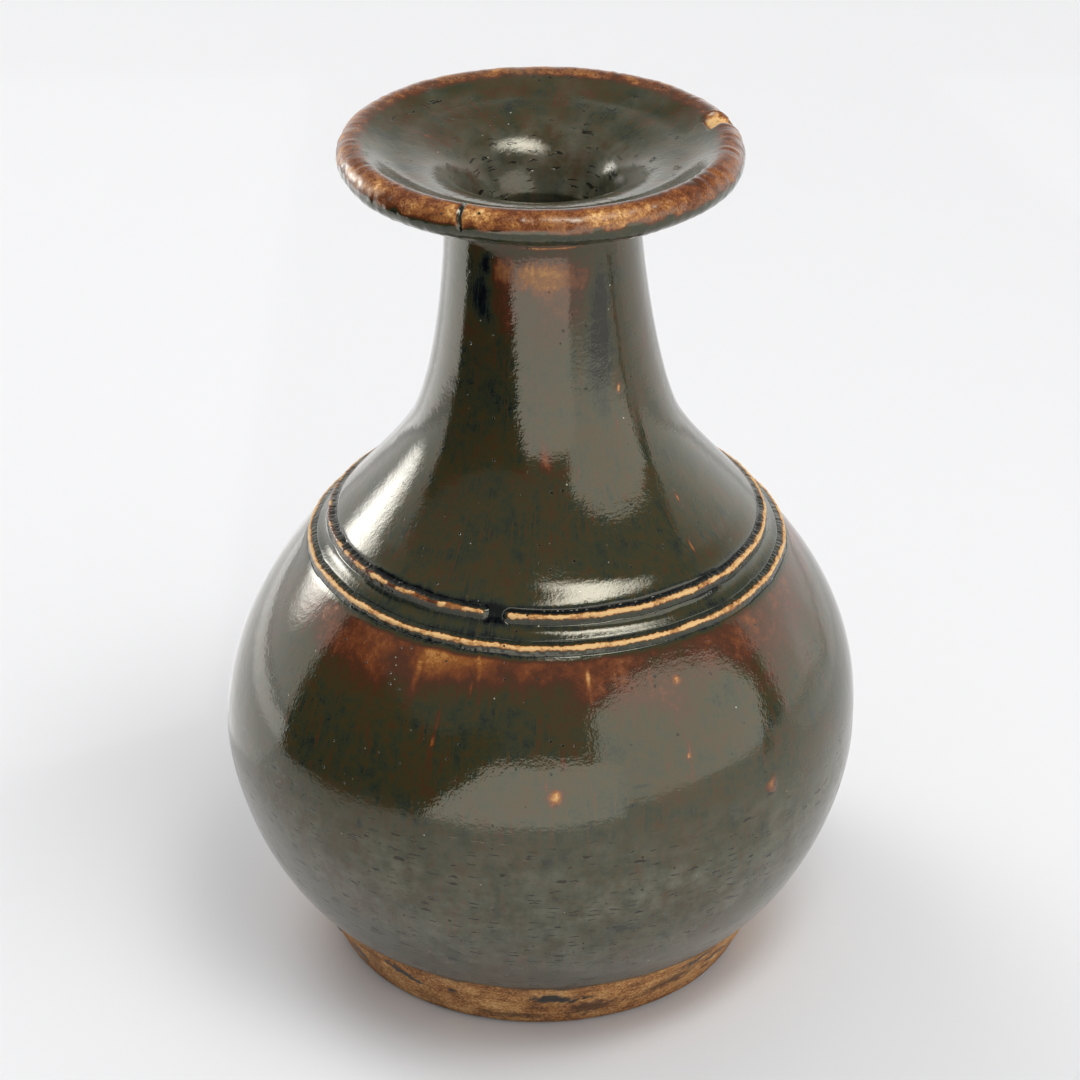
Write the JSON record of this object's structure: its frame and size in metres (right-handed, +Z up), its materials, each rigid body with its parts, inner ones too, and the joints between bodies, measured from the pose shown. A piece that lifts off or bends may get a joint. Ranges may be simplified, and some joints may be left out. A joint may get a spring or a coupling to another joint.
{
  "type": "earthenware vase",
  "caption": "Squat bottle vase with a flaring neck, a dished mouth with a rolled lip, shoulder rings and a bare turned foot, in a dark brown-green glaze.",
  "frame": {"origin": "centre of the foot's underside, on the surface the vase stands on", "axes": "+Z up along the axis the vase was thrown about; -Y is the side that faces the viewer"},
  "size_m": [0.2, 0.2, 0.2738],
  "materials": {
    "dark_glaze": "glossy brown-black to olive iron glaze with rust patches and pinholes",
    "broken_glaze": "thin glaze broken to rust and buff where it drew off an edge",
    "bare_clay": "unglazed buff clay, turned, with stains and grit"
  },
  "bodies": {
    "root": {"foot_ring": "bare_clay", "base": "bare_clay", "lower_body": "dark_glaze", "upper_body": "dark_glaze", "lower_shoulder_ring": "broken_glaze", "upper_shoulder_ring": "broken_glaze", "shoulder": "dark_glaze", "neck": "dark_glaze", "mouth_dish": "dark_glaze", "lip_roll": "broken_glaze"}
  },
  "joints": []
}
